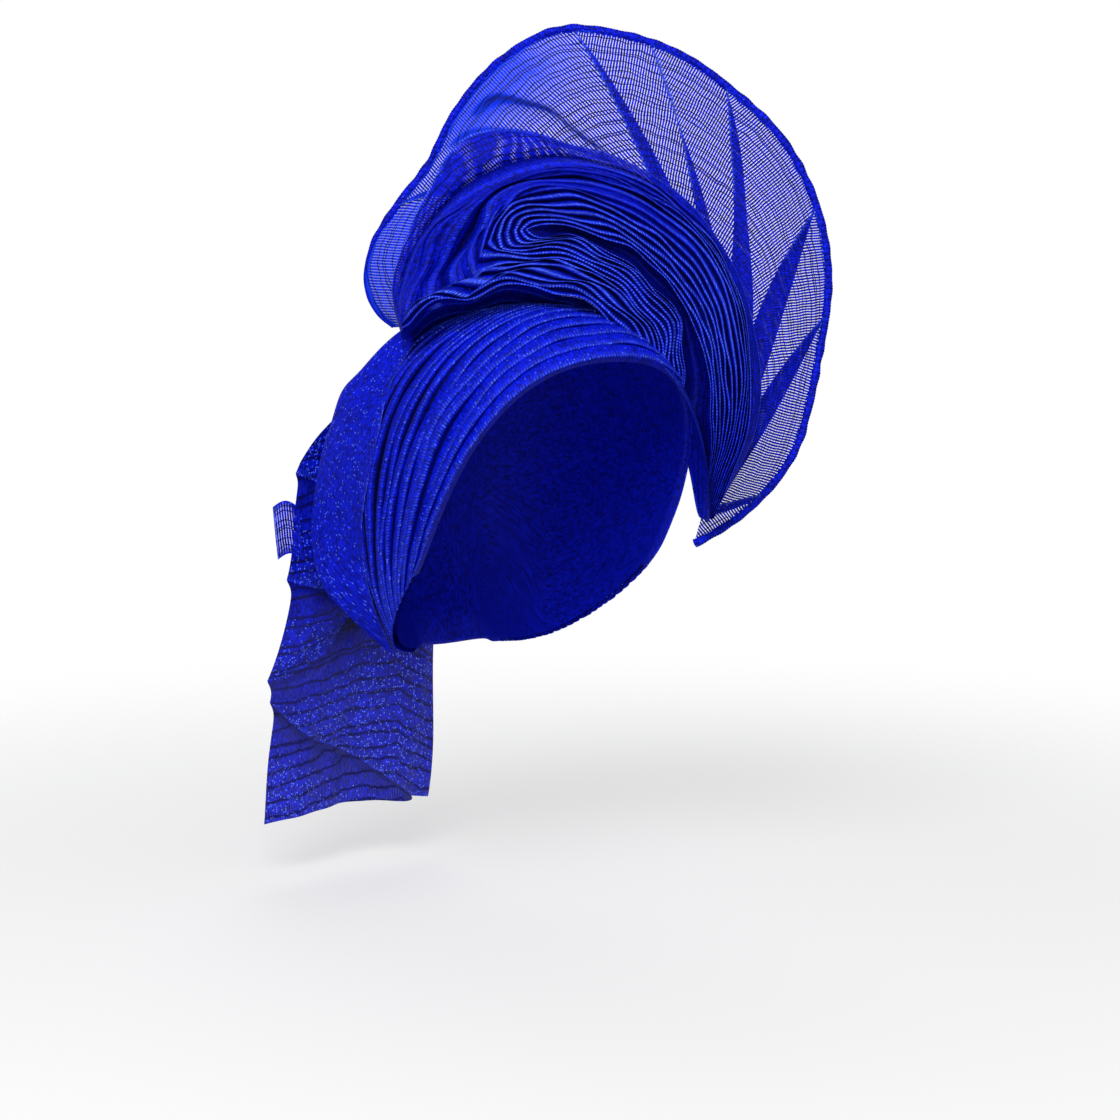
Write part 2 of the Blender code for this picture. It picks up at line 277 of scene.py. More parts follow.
def makeHeadWrap():
    starts = wrapStarts()
    side = np.linspace(-1, 1, wrap["columns"] + 1)
    byEar = bell(side + wrap["earAt"], wrap["earWidth"])
    widePitch = starts[1] - starts[0]
    rows, maps, paintedLights = [], [], []
    run = 0.0
    for band, (start, end) in enumerate(zip(starts, starts[1:])):
        pitch = end - start
        height = min(1.0, (pitch / widePitch) ** wrap["heightPower"])
        drift = wrap["wobble"] * pitch * ripple(side, 20 + band, 4, 0.8, 3.5) * min(1, 6 * (1 - end))
        deeper = 0.45 + 0.45 * math.sin(2.4 * band) + 0.2 * ripple(side, 90 + band, 3, 2, 6)
        swell = 1 + wrap["swell"] * ripple(side, 60 + band, 4, 1, 6) + wrap["earRelief"] * byEar * deeper
        edge, near = (offHead(wrapDirection(at, side), wrap["edgeRise"]) for at in (start, end))
        spread = np.linalg.norm(near - edge, axis=-1)
        room = np.clip(spread / max(spread.max(), 1e-6), wrap["leastRoom"], 1) ** wrap["roomPower"]
        section = []
        for back, up, _ in bandSection:
            standoff = head["wall"] + up * height * room * swell
            section.append(offHead(wrapDirection(start + back * pitch + drift, side), standoff))
        section = np.array(section)
        across = runAcross(section)
        cloth = lineMap(edge, across + run)
        rows.append(section)
        maps.append(bothSides(cloth))
        if band < len(starts) - 2:
            maps.append(np.stack([cloth[-1], cloth[-1]])[None])
        run += float(across[-1].max())
        # painted light across each band from its section; the first band's front edge gets no painted shade
        shade = np.array(bandSection)[:, 2:]
        if band == 0:
            shade[:2] = 0
        # painted shadow: the rear bands near the ear, beside the flap, are darkened
        paintedLights.append(shade - wrap["earShade"] * byEar * min(max((start - 0.22) / 0.3, 0), 1))
    outer = np.concatenate(rows)
    paintedLight = np.concatenate(paintedLights)
    outerGrid = (outer, np.concatenate(maps), paintedLight, np.ones_like(paintedLight))
    shares = np.linspace(-wrap["tuckedIn"], 1, wrap["innerRows"])[:, None]
    inner = offHead(wrapDirection(shares, side), wrap["lining"])
    inner = np.concatenate([outer[:1], inner, outer[-1:]])
    plain = np.ones(inner.shape[:2])
    # painted shade: the lining inside the hollow is drawn darker
    innerGrid = (inner[::-1], flatMap(inner)[::-1], -0.3 * plain, plain)
    return clothPiece("headWrap", [outerGrid, innerGrid], flip=True)


headWrap = makeHeadWrap()
print("head wrap:", len(headWrap.data.polygons), "faces")

# Rosette: pleats nested in hairpins round an eye, gathered at the wearer's left temple
rosette = {
    "front": 34, "columns": 200, "valley": 9.0, "grooveSharpness": 2.3, "sheerFrom": 6.0, "sharedWobble": 0.9,
    "wobble": 0.35, "lift": 1.1, "templeTuck": 15, "skirtDrop": 16, "skirtBack": 18, "halfPleat": 0.25,
    "lowCrest": 4.5, "bandFrom": 6.25, "bandRows": 31, "eyeSink": 8, "eyeDepth": 0.53, "lowRise": 0.47,
    "highFall": 0.68, "crestWidth": 0.17, "templeShade": 0.85,
}
rosetteFolds = (
    # each fold from its turn to the temple: over the eye, then under it, across and up on the fan's face
    {"over": (
        (-8.5, 47.5), (-4, 50), (10, 50), (27, 46), (47, 38), (64, 25.5), (78, 9.5), (87.5, -10.5),
        (94, -33.5), (96.5, -59), (95.5, -84.5), (92, -110.5)
    ), "under": (
        (-8.5, 47.5), (-5, 46), (10, 44.5), (27, 40), (44, 32), (60, 19.5), (73.5, 3.5), (83.5, -16.5),
        (90, -39), (92.5, -62), (92.5, -84.5), (91, -110.5)
    )},
    {"over": (
        (-15.5, 46.5), (-12.5, 52.5), (1.5, 55), (21.5, 53.5), (41.5, 46.5), (60, 35), (75.5, 20.5),
        (88, 2), (95.5, -19.5), (99.5, -45), (99, -70.5), (96, -93.5), (92.5, -111.5)
    ), "under": (
        (-15.5, 46.5), (-13, 42), (-1, 42), (16, 40.5), (32.5, 34), (48.5, 25.5), (64, 12), (75.5, -5),
        (83.5, -25.5), (88.5, -48.5), (90, -76), (90, -111.5)
    )},
    {"over": (
        (-25, 43.5), (-21, 53), (-12.5, 59.5), (4.5, 62), (27.5, 59), (50, 49.5), (70, 36), (85, 18.5),
        (95.5, -1.5), (101.5, -25.5), (104, -51), (102, -73.5), (97.5, -93.5), (93, -112.5)
    ), "under": (
        (-25, 43.5), (-23, 37.5), (-12.5, 37.5), (4.5, 37), (21.5, 33), (38.5, 26), (55.5, 13), (69, -4.5),
        (78.5, -24.5), (84.5, -47), (87.5, -76), (89.5, -112.5)
    )},
    {"over": (
        (-35, 33.5), (-29.5, 49), (-25.5, 58.5), (-15.5, 65), (1.5, 69.5), (27.5, 66), (53, 56), (74.5, 41),
        (91, 21.5), (101, 0), (106.5, -24.5), (108.5, -51.5), (105.5, -74), (99, -94.5), (93.5, -114)
    ), "under": (
        (-35, 33.5), (-32.5, 33), (-21, 33.5), (-7, 32.5), (10, 30.5), (27, 26.5), (44, 16), (59.5, 0),
        (71, -19.5), (79, -42.5), (84.5, -70), (88, -114)
    )},
    {"over": (
        (-44, 9), (-48, 15), (-51, 21.5), (-47.5, 31.5), (-39, 42), (-32, 52), (-28.5, 61), (-22, 67),
        (-9.5, 73), (10.5, 75.5), (33, 72.5), (56, 63.5), (78.5, 48), (95.5, 30), (106.5, 8), (112, -17.5),
        (113, -46), (109.5, -71), (102, -93.5), (95, -115)
    ), "under": (
        (-44, 9), (-41, 13), (-35, 22), (-26.5, 26.5), (-16.5, 28.5), (1.5, 27), (18.5, 25), (35.5, 16.5),
        (52, 3.5), (64.5, -15), (75, -40), (82.5, -70), (87.5, -115)
    )},
    {"over": (
        (-76.5, -1.5), (-76.5, 6), (-74.5, 13), (-66.5, 28.5), (-63.5, 40.5), (-57, 49.5), (-43.5, 58.5),
        (-32.5, 67), (-18.5, 74), (-1, 79.5), (13, 81.5), (36, 77.5), (59, 67), (81.5, 52.5), (99, 33),
        (110, 11), (115.5, -17.5), (116.5, -46), (113, -71.5), (104.5, -95), (96, -117)
    ), "under": (
        (-76.5, -1.5), (-73.5, 4.5), (-65.5, 10), (-57, 13.5), (-50.5, 13), (-42.5, 11.5), (-35, 17),
        (-23, 22), (-6.5, 21), (1.5, 20), (18.5, 18.5), (32.5, 11), (48.5, -2), (61, -20.5), (72, -43.5),
        (80, -72.5), (87, -116)
    )},
    {"over": (
        (-79, -9.5), (-80.5, -1.5), (-82, 6), (-79, 18), (-74, 29.5), (-67.5, 41), (-58.5, 52.5), (-46, 64),
        (-31, 73), (-15.5, 80), (1.5, 84), (19, 84.5), (41.5, 80), (64.5, 69), (84.5, 53), (100.5, 36),
        (111, 15), (117, -12), (119, -40.5), (117.5, -66), (109, -91), (98, -117)
    ), "under": (
        (-79, -9.5), (-75, -5.5), (-69.5, 1.5), (-61.5, 7), (-51.5, 9.5), (-41.5, 10.5), (-32.5, 13),
        (-20.5, 16.5), (-6.5, 15.5), (4.5, 13.5), (18.5, 11), (31.5, 3.5), (45, -9), (58, -26), (69, -49),
        (78.5, -75.5), (86.5, -117)
    )},
    {"over": (
        (-81.5, -13), (-85, 0.5), (-86.5, 12), (-84, 26.5), (-78.5, 41), (-71, 58.5), (-64, 71),
        (-55.5, 87.5), (-44, 99), (-27, 103.5), (-7, 102.5), (16, 95), (39, 89.5), (61.5, 78.5), (84.5, 62),
        (102.5, 39), (114.5, 16.5), (122.5, -12), (126.5, -40.5), (124, -65.5), (113, -92.5), (99, -117)
    ), "under": (
        (-81.5, -13), (-76, -11), (-70, -4), (-61.5, 2), (-51.5, 5), (-41.5, 6), (-32.5, 9), (-20.5, 12),
        (-6.5, 11), (4.5, 9), (18.5, 6), (31.5, -1), (44, -14), (56, -31), (67, -53), (77, -79), (86, -118)
    )},
)
pleatProfile = (-0.5, -0.47, -0.42, -0.33, -0.20, -0.10, 0.0, 0.10, 0.20, 0.33, 0.42, 0.47, 0.5)
softGrooves = (
    # groove between two pleats, how much of it is smoothed away over the eye
    (2.75, 0.3), (3.25, 0.5), (3.75, 0.75), (4.75, 0.85), (5.25, 0.75), (5.75, 0.9),
)
broadRolls = (
    # fold in the middle of a broad roll over the eye, half its width in folds, how far it stands out
    (5.25, 1.0, 6.0), (3.45, 0.8, 4.0),
)


def rosetteLines():
    # every fold as one line from the temple under the eye, round its turn and back to the temple
    lines = []
    for fold in rosetteFolds:
        under = evenLine(fold["under"], rosette["columns"] + 1)[::-1]
        sunk = np.clip((-5 - under[:, 1]) / 55, 0, 1)
        under[:, 0] -= rosette["templeTuck"] * sunk
        over = evenLine(fold["over"], rosette["columns"] + 1)
        lines.append(np.concatenate([under[:-1], over]))
    return np.array(lines)


def rosetteDepth(fold, t, up):
    # how far the cloth stands towards the front: the eye lies deep, the lower folds stand proud of it
    last = rosette["sheerFrom"]
    lower = 0.5 * (1 - np.sin(np.pi / 2 * np.clip(t / 0.10, -1, 1)))
    outer = np.clip(fold / last, 0, 1)
    stand = rosette["lowRise"] * lower - rosette["highFall"] * (1 - lower)
    depth = rosette["front"] * (rosette["eyeDepth"] + (1 - t**2) * outer * stand)
    sheer = np.clip((fold - last) / (7 - last), 0, 1)
    return depth + (np.minimum(fanFace(up) + 1.5, depth) - depth) * sheer**1.2


def grooveAt(fold, t):
    # how deep the groove at this fold is: 1 is full depth, and some are soft on the broad rolls over the eye
    soft = sum(share * max(0.0, 1 - abs(fold - at) * 8) for at, share in softGrooves)
    return 1 - soft * overEye(t)


def overEye(t):
    return np.clip((t + 0.05) / 0.08, 0, 1) * np.clip((0.62 - t) / 0.25, 0, 1)


def makeRosette():
    lines = rosetteLines()
    count = lines.shape[1]
    hinge = count // 2
    t = np.linspace(-1, 1, count)
    calm = 1 - t**6
    flat = np.column_stack([np.arange(len(lines)), lines.reshape(len(lines), -1)])

    def linesAt(folds):
        return smoothRows(flat, folds).reshape(len(folds), count, 2)

    half = rosette["halfPleat"]
    shares = np.array(pleatProfile)[:, None]
    fromCrest = 2 * np.abs(shares)
    middle = len(pleatProfile) // 2
    crests = np.arange(0, 6.01, 2 * half)
    rows, maps, paintedLights = [], [], []
    for j, crest in enumerate(crests):
        folds = np.clip(crest + 2 * half * shares, 0, 7)
        plane = linesAt(folds[:, 0])
        low, high = linesAt(np.clip([crest - half, crest + half], 0, 7))
        valley = np.clip(1.6 * np.linalg.norm(high - low, axis=-1), 1.5, rosette["valley"])
        before, after = grooveAt(crest - half, t), grooveAt(crest + half, t)
        groove = np.where(shares < 0, before, after)
        shared = rosette["sharedWobble"] * ripple(t + 0.012 * j, 200, 5, 3, 8) * calm
        wave = shared + rosette["wobble"] * ripple(t, 210 + j, 5, 4, 11) * calm
        lift = rosette["lift"] * ripple(t, 300 + j, 5, 1.5, 7) * calm
        if crest == rosette["lowCrest"]:
            lift = lift - 6 * bell(t, 0.09)
        plane = plane + leftOf(plane) * wave[:, None]
        if j == 0:
            firstFold = plane[0]
        roll = sum(out * np.clip(1 - ((folds - at) / wide) ** 2, 0, 1) for at, wide, out in broadRolls)
        relief = valley * groove * fromCrest ** rosette["grooveSharpness"] - lift * (1 - fromCrest**2)
        relief = relief - roll * overEye(t)
        points = onFan(plane, rosetteDepth(folds, t, plane[..., 1]) - relief)
        across = runAcross(points)
        # painted light: a painted highlight along each pleat's crest, painted shade down into each groove and
        # painted shade towards the temple ends
        paintedLight = before * after * bell(shares, rosette["crestWidth"]) - 0.9 * groove * fromCrest**3
        paintedLight = paintedLight - rosette["templeShade"] * np.clip((np.abs(t) - 0.66) / 0.34, 0, 1)
        keep = slice(None, -1) if j < len(crests) - 1 else slice(None)
        rows.append(points[keep])
        paintedLights.append(paintedLight[keep])
        maps.append(bothSides(lineMap(points[middle], across - across[middle] + 30 * j)))
    front = np.concatenate(rows)
    # the hollow between the two sides of the innermost fold
    r = np.linspace(0, 1, 13)[:, None, None]
    pair = firstFold[: hinge + 1][::-1] * (1 - r) + firstFold[hinge:] * r
    away = np.linspace(0, 1, hinge + 1)
    sink = rosette["eyeSink"] * (1 - np.abs(2 * r[..., 0] - 1) ** 1.5) * np.clip(away * 12, 0, 1)
    eye = onFan(pair, rosetteDepth(0, away, pair[..., 1]) - 1 - sink)
    eyeBack = onFan(pair, fanFace(pair[..., 1]) + 0.5)
    # the sheer band that runs from the outermost fold back to the halo, and the skirt down to the crown
    shares = np.linspace(0, 1, rosette["bandRows"])[:, None]
    folds = rosette["bandFrom"] + (7 - rosette["bandFrom"]) * shares
    plane = linesAt(folds[:, 0])
    band = onFan(plane, rosetteDepth(folds, t, plane[..., 1]))
    band = band + (front[-1] - band[0]) * (1 - shares[..., None]) ** 3
    skirt = np.clip(-t / 0.04, 0, 1) * np.clip((1 + t) / 0.35, 0, 1) ** 0.5
    drop = shares * skirt
    ridges = np.abs(np.sin(3 * np.pi * (shares**1.3 + 0.05 * ripple(t, 78, 3, 1, 4)))) ** 0.5
    ridges = (ridges - 0.6) * 3.0 * skirt
    band += fanPoint(0 * drop, -rosette["skirtDrop"] * drop**1.3, ridges - rosette["skirtBack"] * drop**0.8)
    wave = fanPoint(0 * t, 0 * t, 1.2 * ripple(t, 77, 4, 2, 7) * calm)
    band += wave * np.sin(np.pi * shares)[..., None]
    bandMap = lineMap(band[rosette["bandRows"] // 2], runAcross(band) + 600)
    over = np.clip((t - 0.02) / 0.1, 0, 1) * np.clip((0.55 - t) / 0.1, 0, 1)
    bandDense = 1 - over * np.sin(np.pi * shares) ** 0.5 * 0.75
    # painted light: a painted highlight along the band's outer edge and the skirt's ridge crests, painted
    # shade over the skirt
    bandCrease = bell(shares - 1, 0.06) * (1 - skirt) + 0.7 * np.clip(ridges / 1.2, 0, 1) ** 8 - 0.5 * skirt
    plane = linesAt(np.linspace(0, 6.2, 40))
    back = onFan(plane, fanFace(plane[..., 1]) + 0.5)
    plainEye, plainBack = np.ones(eye.shape[:2]), np.ones(back.shape[:2])
    grids = [
        (seatOnCrown(front), np.concatenate(maps), np.concatenate(paintedLights), np.ones(front.shape[:2])),
        # painted shade: the eye's hollow between the sides of the innermost fold is drawn darker
        (seatOnCrown(eye), flatMap(eye), -0.8 * plainEye, plainEye),
        (seatOnCrown(eyeBack)[::-1], flatMap(eyeBack)[::-1], 0 * plainEye, plainEye),
        (seatOnCrown(band), bothSides(bandMap), bandCrease, bandDense),
        (seatOnCrown(back)[::-1], flatMap(back)[::-1], 0 * plainBack, plainBack),
    ]
    return clothPiece("rosettePleats", grids)


rosettePleats = makeRosette()
print("rosette:", len(rosettePleats.data.polygons), "faces")

# Halo: the tall sheer fan behind the rosette, with knife pleats that run in from its rim
halo = {
    "radius": 144, "across": 33, "up": 16, "curl": 13, "curlFrom": 0.72, "layer": 1.1, "puff": 3.0,
    "rows": 110, "columnStep": 2.2, "closeRim": 3.5, "closeLeft": 0.80, "closeTop": 0.86,
    "closeRight": 0.6, "closeDoubled": 0.8,
}
haloRim = (
    # angle in degrees, radius as a share of the halo's
    (-70, 1.125), (-64, 1.115), (-57, 1.10), (-50, 1.08), (-41, 1.045), (-30, 0.98), (-20, 0.94),
    (1, 0.925), (20, 0.925), (38, 0.93), (55, 0.93), (70, 0.96), (86, 0.99), (99, 1.015), (113, 0.97),
    (130, 0.89), (146, 0.83), (160, 0.87), (172, 0.93), (182, 0.94), (188.5, 0.90), (192.5, 0.85),
)
haloThreads = (
    # angle of the thread's end on the rim, the point that it bends towards, the point that it ends at
    (-70, 92, -122, 94, -114), (-54, 110.5, -115.5, 97.5, -116.5), (-35, 125, -92.5, 103.5, -107),
    (-8, 130, -50, 104.5, -104), (19, 128.5, 4.5, 106, -92.5), (57, 122.5, 37.5, 108, -81.5),
    (96, 59.5, 103, 105.5, -12.5), (120, 10.5, 114.5, 56.5, 62.5), (143, -30, 103, 10.5, 77),
    (166, -65, 62.5, -41.5, 53.5), (183, -82, 22, -59, 22), (192.5, -84, -10.5, -79, -9.5),
)
knifePleats = (
    # angle on the rim, and the pleat's width at shares of the way from its inner end to the rim
    (-52, ((0, 6), (0.5, 5), (0.9, 2), (1, 0))),
    (-8, ((0, 6), (0.35, 12), (0.7, 9), (0.92, 3), (1, 0))),
    (19, ((0, 6), (0.4, 15), (0.65, 12), (0.9, 4), (1, 0))),
    (57, ((0, 6), (0.35, 15), (0.6, 8), (0.85, 5), (1, 0))),
    (78, ((0, 5), (0.3, 8), (0.55, 5), (0.75, 0), (1, 0))),
    (96, ((0, 5), (0.4, 9), (0.65, 6), (0.85, 3), (1, 0))),
    (160, ((0, 8), (0.5, 5), (0.85, 2), (1, 0))),
)
softFolds = (
    # folds that run across the threads: half width, how far it stands out, how much painted shadow lies along
    # it, and its points
    (1.8, 3.0, 0.9, (
        (-41.5, 110.5), (-28.5, 121), (-8.5, 118.5), (5.5, 114), (18, 103.5), (34, 92.5), (45, 85.5),
    )),
    (1.4, 2.0, 0.3, ((-58, 90), (-45, 100), (-17.5, 102.5), (-1.5, 99), (27, 90), (67.5, 72))),
)
softSteps = 80


def softFoldShape(plane):
    # how far the soft folds raise each point of the halo, how much painted shadow they put on it and how
    # dense
    raised, dark, dense = np.zeros((3, *plane.shape[:-1]))
    for wide, out, shade, line in softFolds:
        line = evenLine(line, softSteps)
        away = plane[..., None, :] - line
        gaps = np.linalg.norm(away, axis=-1)
        near = np.argmin(gaps, axis=-1)
        gap = np.min(gaps, axis=-1)
        ends = np.clip(np.minimum(near, softSteps - 1 - near) / 12, 0, 1)
        ahead = np.gradient(line, axis=0)[near]
        offset = np.take_along_axis(away, near[..., None, None], axis=-2)[..., 0, :]
        below = ahead[..., 0] * offset[..., 1] - ahead[..., 1] * offset[..., 0] < 0
        ridge = bell(gap, wide) * ends
        raised += out * bell(gap, 2 * wide) * ends
        dark += shade * ridge
        dense += 0.9 * ridge + np.where(below, 0.28, 0) * np.exp(-gap / 7) * ends
    return raised, dark, dense


def rimPoint(angle):
    reach = smoothRows(haloRim, angle)[..., 0] * halo["radius"]
    turn = np.radians(angle)
    return np.stack([halo["across"] + reach * np.cos(turn), halo["up"] + reach * np.sin(turn)], axis=-1)


def threadPoint(angle, s):
    # a point on the thread line that ends on the rim at this angle; s is 0 at its inner end, 1 at the rim
    ends = smoothRows(haloThreads, angle)
    s = np.asarray(s)[..., None]
    return (1 - s) ** 2 * ends[..., 2:4] + 2 * s * (1 - s) * ends[..., 0:2] + s**2 * rimPoint(angle)


def haloDepth(plane):
    away = plane - np.array([halo["across"], halo["up"]])
    angle = np.degrees(np.arctan2(away[..., 1], away[..., 0]))
    angle = np.where(angle < -120, angle + 360, angle)
    share = np.linalg.norm(away, axis=-1) / (smoothRows(haloRim, angle)[..., 0] * halo["radius"])
    free = np.clip((share - halo["curlFrom"]) / (1 - halo["curlFrom"]), 0, 1.05)
    folds = 1.4 * ripple(angle / 360, 9, 5, 3, 9) * free
    return fanFace(plane[..., 1]) - 1.2 - halo["curl"] * free**2 + folds


def makeHalo():
    s = np.linspace(0, 1, halo["rows"] + 1)
    still = np.zeros((len(s), 2))
    guides = [(haloRim[0][0], still, 0.0)]
    for angle, widths in knifePleats:
        shift = leftOf(threadPoint(angle, s)) * smoothRows(widths, s) / 2
        guides += [(angle, shift, 1.0), (angle, -shift, -1.0)]
    guides.append((haloRim[-1][0], still, 0.0))
    grids = []
    for n, (start, end) in enumerate(zip(guides, guides[1:])):
        (first, firstShift, firstLayer), (second, secondShift, secondLayer) = start, end
        folded = n % 2 == 1
        gap = threadPoint(second, s) + secondShift - (threadPoint(first, s) + firstShift)
        steps = max(5, int(np.linalg.norm(gap, axis=-1).max() / halo["columnStep"]))
        x = np.linspace(0, 1, steps + 1)[:, None]
        angle = first + (second - first) * x + 0 * s
        plane = threadPoint(angle, s) + (firstShift * (1 - x)[..., None] + secondShift * x[..., None])
        fromFirst = np.linalg.norm(plane - plane[:1], axis=-1) if n > 0 else 999
        fromSecond = np.linalg.norm(plane - plane[-1:], axis=-1) if n < len(guides) - 2 else 999
        fromEdges = np.minimum(fromFirst, fromSecond)
        edge = bell(fromEdges, 1.0)
        if folded:
            layer = firstLayer + (secondLayer - firstLayer) * x + 0 * s
            chord = rimPoint(second + 1) - rimPoint(second - 1)
            puff, doubled, sunk = 0, halo["closeDoubled"], 0.5 * (1 - edge)
        else:
            layer = np.where(x < 0.5, firstLayer, secondLayer) * np.exp(-fromEdges / 12)
            chord = plane[-1, -1] - plane[0, -1]
            puff, doubled, sunk = halo["puff"] * np.sin(np.pi * x) * np.sin(np.pi * s) ** 2, 0, 0
        u = (plane - plane[0, -1]) @ unit(chord) + 80 * n
        inward = runLength(plane[:, ::-1])[:, ::-1]
        raised, dark, close = softFoldShape(plane)
        # painted light: a painted highlight along each pleat's edges, painted shade over the folded-under
        # strips away from their edges, and the soft folds' painted shadow
        paintedLight = (edge - sunk) * np.clip((1 - s) * 30, 0, 1) - dark
        # where the weave is close: along the rim, at the left end, the top and the right, and in the folds
        rim = np.clip(1 - inward / halo["closeRim"], 0, 1)
        left = np.clip((angle - 146) / 20, 0, 1) * halo["closeLeft"]
        top = np.clip(1.6 - np.abs(angle - 124) / 20, 0, 1) * np.clip(1.5 - inward / 34, 0, 1)
        right = np.clip(1 - np.abs(angle - 5) / 35, 0, 1) * np.clip(1 - inward / 14, 0, 1)
        dense = rim + left + top * halo["closeTop"] + right * halo["closeRight"] + close + doubled
        dense = np.clip(dense, 0, 1)
        depth = haloDepth(plane) + layer * halo["layer"] + (puff + raised) * np.clip(1.2 - layer**2, 0, 1)
        cloth = bothSides(np.stack([u, inward], axis=-1))
        grids.append((seatOnCrown(onFan(plane, depth)), cloth, paintedLight, dense))
    return clothPiece("haloCloth", grids)


haloCloth = makeHalo()
print("halo:", len(haloCloth.data.polygons), "faces")

# Hem: the rolled edge along the halo's rim, bound with close thread
hem = {"radius": 2.0, "bump": 0.5, "bumpPitch": 3.3, "stations": 1500, "sides": 10}


def makeHem():
    angle = np.linspace(haloRim[0][0], haloRim[-1][0], hem["stations"])
    run = runLength(rimPoint(angle))
    even = np.interp(np.linspace(0, run[-1], hem["stations"]), run, angle)
    plane = rimPoint(even)
    path = onFan(plane, haloDepth(plane))
    ahead = unit(np.gradient(path, axis=0))
    outward = unit(np.cross(ahead, fanPoint(0.0, 0.0, 1.0)))
    upward = np.cross(outward, ahead)
    distance = runLength(path)[:, None]
    turn = np.linspace(0, 2 * np.pi, hem["sides"] + 1)
    phase = distance / hem["bumpPitch"] + 0.25 * turn / np.pi
    lump = 1 + hem["bump"] * (np.abs(np.sin(np.pi * phase)) ** 0.7 - 0.5)
    lump *= 1 + 0.12 * ripple(distance / distance[-1], 5, 5, 20, 60)
    radius = hem["radius"] * lump * np.clip((185 - even) / 25, 0.35, 1)[:, None]
    ring = outward[:, None] * np.cos(turn)[:, None] + upward[:, None] * np.sin(turn)[:, None] * 0.75
    points = path[:, None] + ring * radius[..., None]
    points[0] = path[0]
    points[-1] = path[-1]
    cloth = bothSides(np.stack(np.broadcast_arrays(turn * 1.9, distance), axis=-1))
    # painted shade in the dips between the hem's bumps
    return clothPiece("haloHem", [(seatOnCrown(points), cloth, -0.25 * (lump < 0.9), np.ones(lump.shape))])


haloHem = makeHem()
print("hem:", len(haloHem.data.polygons), "faces")

# Flap: a strip folded back on itself, from the knot down behind the wearer's right ear
flap = {"wall": 1.6, "standoff": 32, "rows": 240, "columns": 110}
flapSection = (
    # share of the way to the rear edge, standoff as a share
    (0.00, 0.00), (0.28, 0.14), (0.55, 0.42), (0.80, 0.76), (0.97, 0.99), (1.07, 0.97),
    (1.14, 0.66), (1.24, 0.26), (1.36, 0.00),
)
flapLevels = (
    # height angle, turn of the front edge and of the rear edge from the wearer's right, standoff share
    (53, 40, 48, 0.30), (37, 33, 50, 0.44), (28, 29, 51, 0.64), (18, 29, 52, 0.68), (6, 34, 53, 0.82),
    (-10, 43, 54, 0.98), (-20, 46, 54, 0.92), (-30, 45, 53, 0.56), (-45, 41, 49, 0.06),
)


def makeFlap():
    along = np.linspace(0, 1, flap["rows"] + 1)[:, None]
    across = np.linspace(0, 1, flap["columns"] + 1)[None, :]
    share, off = np.moveaxis(smoothRows(numbered(flapSection), across * (len(flapSection) - 1)), -1, 0)
    level = smoothRows(numbered(flapLevels), along * (len(flapLevels) - 1))
    height, front, rear, swell = np.moveaxis(level, -1, 0)
    turn = np.radians(front + (rear - front) * share)
    rise = np.radians(height) + 0 * turn
    seat = head["wall"] + head["lip"] + flap["wall"] / 2
    wave = 0.7 * ripple(along + 0.15 * across, 41, 4, 1, 5) * np.sin(np.pi * np.clip(across * 1.3, 0, 1))
    directions = np.stack([-np.cos(turn) * np.cos(rise), np.sin(turn) * np.cos(rise), np.sin(rise)], axis=-1)
    points = offHead(directions, seat + flap["standoff"] * off * swell + wave * np.clip(off * 3, 0, 1))
    # painted highlight along the flap's front edge
    edge = bell(across, 0.012) + 0 * along
    return clothPiece("earFlap", [(points, flatMap(points), edge, np.ones_like(edge))])


earFlap = makeFlap()
print("flap:", len(earFlap.data.polygons), "faces")

# Tail: the loose length behind the head, in three tiers
tail = {"length": 262, "drape": 4.62, "top": -50, "back": 126, "rows": 300, "columns": 120}
tailSides = (
    # drop as a share, right side, left side, distance back on the right, distance back on the left
    (0.00, -0.50, 0.10, 0.94, 0.82), (0.08, -0.58, 0.10, 0.98, 0.92), (0.22, -0.66, 0.10, 1.00, 1.02),
    (0.45, -0.68, 0.11, 1.03, 1.05), (0.67, -0.75, 0.12, 1.07, 1.07), (0.86, -0.80, 0.14, 1.12, 1.09),
    (1.00, -0.81, 0.15, 1.15, 1.11),
)
tailFolds = (
    # drop of each fold on the wearer's right, its slope across the tail, how far it stands out
    (0.20, 0.05, 7), (0.45, 0.03, 10), (0.69, -0.28, 11), (0.73, 0.30, 9),
)


def tierEdge(start, slope, across, along):
    # how far above a fold a place on the tail is, as a share of the tail's length
    return start + slope * across - along + 0.012 * ripple(across, 55, 3, 0.6, 2)


def tailPoint(across, along):
    right, left, backRight, backLeft = np.moveaxis(smoothRows(tailSides, along) * tail["back"], -1, 0)
    x = right + (left - right) * across
    back = backRight + (backLeft - backRight) * across
    free = np.minimum(along * 5, 1)
    tier = 0 * across
    for start, slope, height in tailFolds:
        above = tierEdge(start, slope, across, along)
        tier = tier + height * np.where(above > 0, np.exp(-above / 0.11), np.exp(above / 0.010))
    drape = tail["drape"] * np.cos(3 * np.pi * across + 1.5 * along) * free
    folds = 1.6 * ripple(across * 1.3 + 0.4 * along, 51, 4, 1, 4) * free
    lowEdge = 5 * np.sin(np.pi * across) * np.clip(along * 4 - 3, 0, 1)
    arch = 14 * (2 * across - 1) ** 2 * np.clip(1 - 6 * along, 0, 1)
    down = tail["top"] - tail["length"] * along + lowEdge + 0.15 * tier - arch
    x = x + 0.15 * tier * (1 - across) ** 2
    return np.stack([x, back + tier * free + drape + folds, down], axis=-1)


